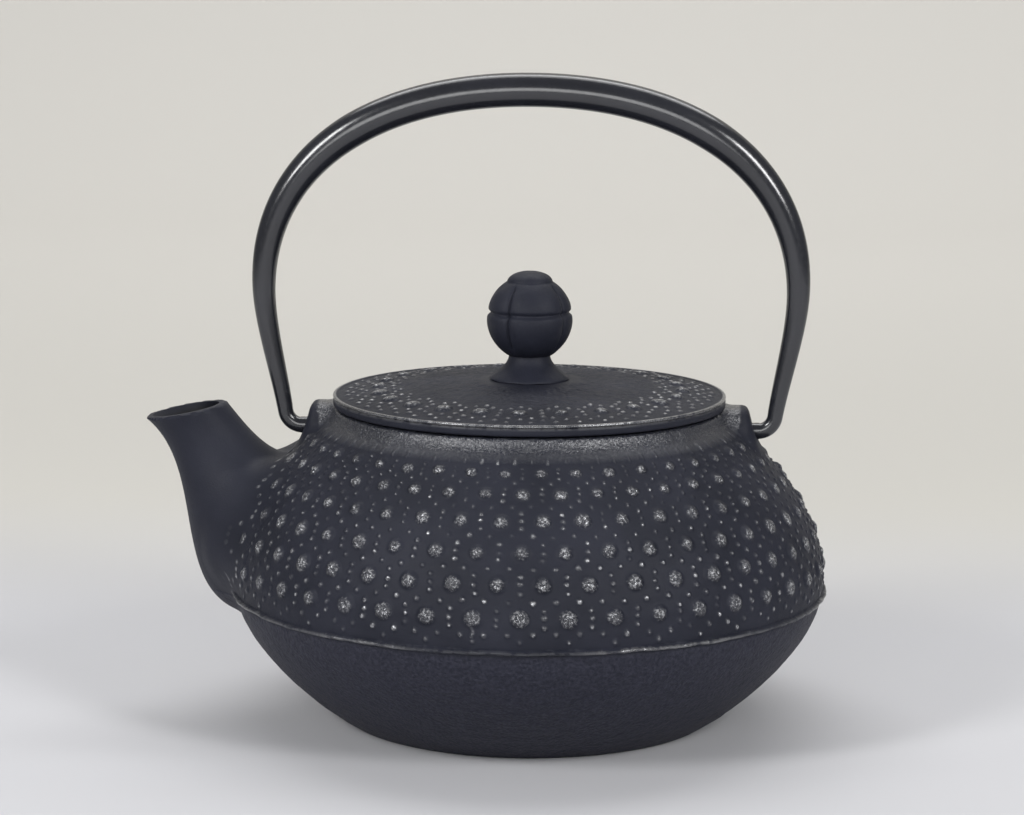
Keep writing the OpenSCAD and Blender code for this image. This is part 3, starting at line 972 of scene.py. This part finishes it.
def basket_collar():
    """Turned steel neck with the flange that hangs the basket in the mouth."""
    r, low, high = collar_high[0], collar_low[2], collar_high[2]
    inner = mesh_high[0] + 0.05
    outer = inner + 0.6
    return turned_piece("basket_collar_steel", [
        (inner, low), (inner + 0.3, low), (outer, low + 0.3), (outer, high - 1.5),
        (outer + 0.15, high - 0.85), (outer + 0.6, high - 0.6), (r - 0.3, high - 0.6),
        (r, high - 0.45), (r, high - 0.15), (r - 0.25, high), (outer, high),
        (inner + 0.4, high - 0.1), (inner + 0.08, high - 0.5), (inner, high - 1.4),
    ], 192)


def basket_band():
    """The folded band round the basket's foot."""
    r, low, high = band_high[0], band_low[2], band_high[2]
    inner = mesh_high[0] + 0.05
    return turned_piece("basket_band_steel", [
        (inner - 4, low + 0.05), (inner, low), (r - 0.3, low), (r, low + 0.3), (r, high - 0.2),
        (r - 0.15, high), (inner, high), (inner, low + 0.45), (inner - 4, low + 0.45),
    ], 192)


def basket_seam():
    """The lapped strip up the side, pressed with a row of shallow weld spots."""
    inner, outer = mesh_high[0] + 0.05, seam_high[0]
    rows = np.linspace(seam_low[2], seam_high[2], 70)
    half_width, weld_pitch = 2.5, 3.8
    half = math.asin(half_width / outer)
    a = np.linspace(-half, half, 17)
    along = np.abs(np.sin(np.pi * (rows - rows[0]) / weld_pitch)) ** 6
    spots = np.exp(-((a[None, :] / half / 0.4) ** 2)) * along[:, None]
    face = outer - 0.16 * spots - 0.15 * (np.abs(a)[None, :] / half) ** 8
    rings = []
    for r, z in zip(face, rows):
        front = np.stack([r * np.cos(a), r * np.sin(a), 0 * a + z], 1)
        back = np.stack([inner * np.cos(a), inner * np.sin(a), 0 * a + z], 1)[::-1]
        rings.append(np.concatenate([front, back]))
    ob = mesh_object("basket_seam_steel", *skin(rings))
    crisp(ob, 45)
    return ob


# ---- materials ----


class Nodes:
    """Short way to write a node tree."""

    def __init__(self, name):
        self.mat = bpy.data.materials.new(name)
        self.mat.use_nodes = True
        self.tree = self.mat.node_tree
        self.shader = self.tree.nodes["Principled BSDF"]
        self.place = self.add("ShaderNodeTexCoord").outputs["Object"]

    def add(self, kind, **settings):
        node = self.tree.nodes.new(kind)
        for key, value in settings.items():
            setattr(node, key, value)
        return node

    def put(self, socket, value):
        if isinstance(value, bpy.types.NodeSocket):
            self.tree.links.new(value, socket)
        else:
            socket.default_value = value

    def math(self, op, a, b=0.0, clamp=False):
        node = self.add("ShaderNodeMath", operation=op, use_clamp=clamp)
        self.put(node.inputs[0], a)
        self.put(node.inputs[1], b)
        return node.outputs[0]

    def noise(self, scale, detail=3.0, rough=0.55, distort=0.0):
        node = self.add("ShaderNodeTexNoise")
        self.put(node.inputs["Vector"], self.place)
        node.inputs["Scale"].default_value = scale
        node.inputs["Detail"].default_value = detail
        node.inputs["Roughness"].default_value = rough
        node.inputs["Distortion"].default_value = distort
        return node.outputs["Fac"]

    def cells(self, scale):
        node = self.add("ShaderNodeTexVoronoi")
        self.put(node.inputs["Vector"], self.place)
        node.inputs["Scale"].default_value = scale
        return node.outputs["Distance"]

    def ramp(self, value, low, high, to_low=0.0, to_high=1.0):
        node = self.add("ShaderNodeMapRange", interpolation_type="SMOOTHSTEP")
        self.put(node.inputs["Value"], value)
        ends = {"From Min": low, "From Max": high, "To Min": to_low, "To Max": to_high}
        for key, number in ends.items():
            node.inputs[key].default_value = number
        return node.outputs["Result"]

    def layer(self, name):
        return self.add("ShaderNodeAttribute", attribute_name=name).outputs["Fac"]

    def blend(self, share, a, b):
        """Mixes two colours, given as sockets or as (r, g, b)."""
        node = self.add("ShaderNodeMix", data_type="RGBA")
        self.put(node.inputs["Factor"], share)
        for socket, value in zip(node.inputs[6:8], (a, b)):
            self.put(socket, value if isinstance(value, bpy.types.NodeSocket) else (*value, 1))
        return node.outputs[2]

    def bump(self, height, distance, strength=1.0, after=None):
        node = self.add("ShaderNodeBump")
        node.inputs["Distance"].default_value = distance
        node.inputs["Strength"].default_value = strength
        self.put(node.inputs["Height"], height)
        if after is not None:
            self.put(node.inputs["Normal"], after)
        return node.outputs["Normal"]


ENAMEL = (0.0105, 0.0118, 0.0195), (0.0170, 0.0185, 0.0290)
SANDED = (0.0145, 0.0155, 0.0260), (0.0310, 0.0320, 0.0480)
# painted sheen: grey for the collar's grainy highlight
COLLAR_SHEEN_GREY = (0.16, 0.163, 0.17)
# bare metal and painted glints on the stud tops
STUD_RUBBED_GLINT = (0.50, 0.505, 0.52)
# painted glints on the dot tops
DOT_GLINT = (0.52, 0.525, 0.54)
# bare metal and a painted highlight on the ridge lip and the lid's rim
LIP_RUBBED_HIGHLIGHT = (0.38, 0.38, 0.385)
# painted shade for the inside of the pot and the spout
INSIDE_SHADE = (0.006, 0.006, 0.007)
PAINT = (0.0085, 0.009, 0.012), (0.015, 0.016, 0.021)
SCUFF = (0.05, 0.05, 0.055)


def cast_iron():
    """Blue-black enamelled iron: fine sand grain, crumbled studs that are partly bare metal and
    partly painted glints, dots with painted glints, lips rubbed bare with a painted highlight, a
    collar with a painted sheen and the inside painted in shade.

    A piece that wasn't painted with one of the masks reads it as 0.
    """
    n = Nodes("cast_iron_black")
    stud, dot, lip = n.layer("stud"), n.layer("dot"), n.layer("lip")
    bowl, collar, inside = n.layer("bowl"), n.layer("collar"), n.layer("inside")
    cloud = n.noise(55, 4)
    grain = n.noise(2600, 3, 0.6)
    crumb = n.noise(1500, 2, 0.7, 0.4)
    sand = n.noise(1150, 3, 0.65)
    pores = n.cells(900)

    upper = n.blend(n.ramp(cloud, 0.3, 0.7), *ENAMEL)
    lower = n.blend(n.ramp(sand, 0.35, 0.7), *SANDED)
    colour = n.blend(bowl, upper, lower)
    # painted sheen: grey crumbs on the collar stand in for its grainy highlight
    collar_sheen = n.math("MULTIPLY", collar, n.ramp(crumb, 0.42, 0.7, 0.0, 0.45))
    colour = n.blend(collar_sheen, colour, COLLAR_SHEEN_GREY)
    # stud tops: pale crumbs, partly bare metal and partly painted glints
    rubbed_and_glint = n.math("MULTIPLY", stud, n.ramp(crumb, 0.51, 0.59))
    colour = n.blend(n.math("MULTIPLY", rubbed_and_glint, 0.85), colour, STUD_RUBBED_GLINT)
    # painted glints: pale specks on the dot tops stand in for the small highlights they catch
    painted_glint = n.math("MULTIPLY", n.ramp(dot, 0.55, 0.92), n.ramp(n.noise(700, 2), 0.42, 0.62))
    colour = n.blend(n.math("MULTIPLY", painted_glint, 0.7), colour, DOT_GLINT)
    # the lips: pale in pieces, partly rubbed bare and partly a painted highlight line
    lip_breaks = n.ramp(n.noise(420, 3, 0.7), 0.36, 0.52)
    edge = n.math("MULTIPLY", lip, lip_breaks)
    colour = n.blend(n.math("MULTIPLY", edge, 0.55), colour, LIP_RUBBED_HIGHLIGHT)
    # painted shade: the inside of the pot and the spout's channel made near black
    colour = n.blend(inside, colour, INSIDE_SHADE)
    n.put(n.shader.inputs["Base Color"], colour)
    # metallic where the iron is bare, and also on the painted glints, the painted highlight and the
    # painted sheen
    bare = n.math("MAXIMUM", n.math("MAXIMUM", rubbed_and_glint, painted_glint), n.math("MAXIMUM", edge, collar_sheen))
    n.put(n.shader.inputs["Metallic"], n.math("MULTIPLY", bare, 0.85))

    raised = n.math("MAXIMUM", n.math("MAXIMUM", stud, dot), n.math("MAXIMUM", collar, lip))
    rough = n.ramp(grain, 0.2, 0.8, 0.50, 0.64)
    rough = n.math("SUBTRACT", rough, n.math("MULTIPLY", raised, 0.30), clamp=True)
    n.put(n.shader.inputs["Roughness"], rough)
    n.put(n.shader.inputs["Specular IOR Level"], n.ramp(raised, 0.0, 1.0, 0.22, 1.0))

    smooth = n.bump(grain, 0.00011, 0.7)
    open_ = n.math("SUBTRACT", 1.0, inside)
    rough_part = n.math("ADD", stud, n.math("MULTIPLY", collar, 0.35))
    studs = n.bump(n.math("MULTIPLY", rough_part, crumb), 0.0007, 1.0, smooth)
    pitted = n.math("ADD", sand, n.math("MULTIPLY", pores, 0.4))
    cast = n.math("MULTIPLY", n.math("MULTIPLY", bowl, open_), pitted)
    n.put(n.shader.inputs["Normal"], n.bump(cast, 0.00042, 1.0, studs))
    return n.mat


def painted_steel():
    """Satin black paint over rolled sheet, with long soft streaks and fine orange peel."""
    n = Nodes("handle_satin_black")
    peel = n.noise(900, 2)
    streak = n.noise(35, 3, 0.6)
    colour = n.blend(n.ramp(streak, 0.3, 0.75), *PAINT)
    scuff = n.ramp(n.noise(240, 5, 0.7), 0.66, 0.76)
    colour = n.blend(n.math("MULTIPLY", scuff, 0.15), colour, SCUFF)
    n.put(n.shader.inputs["Base Color"], colour)
    n.put(n.shader.inputs["Roughness"], n.ramp(peel, 0.2, 0.8, 0.17, 0.24))
    n.put(n.shader.inputs["Normal"], n.bump(peel, 0.00003, 0.3))
    n.shader.inputs["Specular IOR Level"].default_value = 0.8
    return n.mat


def stainless(name, tint, low, high):
    """Bare steel, with brush lines round the axis."""
    n = Nodes(name)
    spread = n.add("ShaderNodeMapping")
    n.put(spread.inputs["Vector"], n.place)
    spread.inputs["Scale"].default_value = (1, 1, 14)
    lines = n.add("ShaderNodeTexNoise")
    n.put(lines.inputs["Vector"], spread.outputs["Vector"])
    lines.inputs["Scale"].default_value = 700
    lines.inputs["Detail"].default_value = 4
    shade = n.ramp(lines.outputs["Fac"], 0.3, 0.7)
    n.put(n.shader.inputs["Base Color"], n.blend(shade, tuple(0.9 * c for c in tint), tint))
    n.shader.inputs["Metallic"].default_value = 1.0
    n.put(n.shader.inputs["Roughness"], n.ramp(lines.outputs["Fac"], 0.2, 0.8, low, high))
    n.put(n.shader.inputs["Normal"], n.bump(lines.outputs["Fac"], 0.00001, 0.3))
    return n.mat


# ---- put the pieces in the frame ----

iron = cast_iron()
paint_black = painted_steel()
bare = stainless("basket_stainless", (0.62, 0.625, 0.63), 0.22, 0.34)
plain = stainless("fastener_steel", (0.5, 0.5, 0.505), 0.3, 0.45)

PIECES = [
    # maker, node it stands for, body, material, record slot
    (pot, "pot_body", "pot", iron, "cast_iron"),
    (handle, "handle", "handle", paint_black, "handle_steel"),
    (lid, "lid_plate", "lid", iron, "cast_iron"),
    (knob, "lid_knob", "lid", iron, "cast_iron"),
    (screw, "knob_screw", "lid", plain, "fastener_steel"),
    (washer, "knob_washer", "lid", plain, "fastener_steel"),
    (basket_collar, "basket_collar", "basket", bare, "basket_steel"),
    (basket_wall, "basket_wall", "basket", bare, "basket_steel"),
    (basket_floor, "basket_floor", "basket", bare, "basket_steel"),
    (basket_band, "basket_band", "basket", bare, "basket_steel"),
    (basket_seam, "basket_seam", "basket", bare, "basket_steel"),
]
for make, node, body, look, slot in PIECES:
    piece = make()
    piece.data.materials.clear()
    piece.data.materials.append(look)
    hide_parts(node)
    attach(piece, body)

# ---- stage, light and camera ----


TABLE = (0.565, 0.565, 0.583)
WARM = (0.585, 0.57, 0.53), (0.75, 0.73, 0.685)  # just behind the pot and on the far wall


def stage():
    """A pale table that turns warmer behind the pot and curves up into a wall far behind it."""
    turn_y, radius, side, front, high = 1.15, 0.6, 3.0, -2.5, 2.6
    a = np.linspace(0, math.pi / 2, 24)
    bend = [(turn_y + radius * math.sin(t), radius * (1 - math.cos(t))) for t in a]
    path = [(front, 0), *bend, (turn_y + radius, high)]
    verts = [(x, y, z) for y, z in path for x in (-side, side)]
    faces = [[2 * k, 2 * k + 1, 2 * k + 3, 2 * k + 2] for k in range(len(path) - 1)]
    me = bpy.data.meshes.new("backdrop")
    me.from_pydata(verts, [], faces)
    me.shade_smooth()
    ob = bpy.data.objects.new("backdrop", me)
    bpy.context.scene.collection.objects.link(ob)
    n = Nodes("backdrop_pale")
    split = n.add("ShaderNodeSeparateXYZ")
    n.put(split.inputs[0], n.place)
    behind = n.ramp(split.outputs["Y"], 0.08, 0.30)
    far = n.ramp(split.outputs["Y"], 0.3, 1.2)
    n.put(n.shader.inputs["Base Color"], n.blend(behind, TABLE, n.blend(far, *WARM)))
    n.shader.inputs["Roughness"].default_value = 0.8
    n.shader.inputs["Specular IOR Level"].default_value = 0.2
    me.materials.append(n.mat)


def soft_light(name, place, aim, size, power):
    """A rectangle of white light that faces a point."""
    data = bpy.data.lights.new(name, "AREA")
    data.shape, data.size, data.size_y = "RECTANGLE", size[0], size[1]
    data.energy = power
    ob = bpy.data.objects.new(name, data)
    ob.location = place
    ob.rotation_euler = (Vector(aim) - Vector(place)).to_track_quat("-Z", "Y").to_euler()
    bpy.context.scene.collection.objects.link(ob)


def camera():
    """At the height and distance of a hand-held camera, a little round to the handle's right."""
    turn, distance, height = math.radians(3.0), 0.824, 0.216
    pitch, yaw, roll = math.radians(9.39), math.radians(-0.308), math.radians(0.25)
    data = bpy.data.cameras.new("camera")
    data.lens, data.sensor_width = 114.56, 36.0
    ob = bpy.data.objects.new("camera", data)
    spin = Matrix.Rotation(turn, 4, "Z")
    ob.matrix_world = (
        spin
        @ Matrix.Translation((0, -distance, height))
        @ Matrix.Rotation(-yaw, 4, "Z")
        @ Matrix.Rotation(math.pi / 2 - pitch, 4, "X")
        @ Matrix.Rotation(roll, 4, "Z")
    )
    bpy.context.scene.collection.objects.link(ob)
    bpy.context.scene.camera = ob


stage()
soft_light("left", (-0.70, -0.62, 0.60), (0, 0, 0.06), (0.2, 0.42), 5.6)
soft_light("right", (0.72, -0.62, 0.58), (0, 0, 0.06), (0.2, 0.42), 5.8)
soft_light("front", (-0.12, -1.25, 0.36), (0, 0, 0.07), (0.8, 0.4), 4.4)
soft_light("behind", (0, 1.2, 2.2), (0, 1.9, 0.3), (3.0, 0.6), 22.0)
soft_light("top", (0, 0.42, 1.15), (0, 0.1, 0), (1.3, 0.5), 5.0)
world = bpy.data.worlds.new("studio")
world.use_nodes = True
world.node_tree.nodes["Background"].inputs["Color"].default_value = (0.93, 0.95, 1.0, 1)
world.node_tree.nodes["Background"].inputs["Strength"].default_value = 0.22
bpy.context.scene.world = world
bpy.context.scene.view_settings.view_transform = "Standard"
camera()
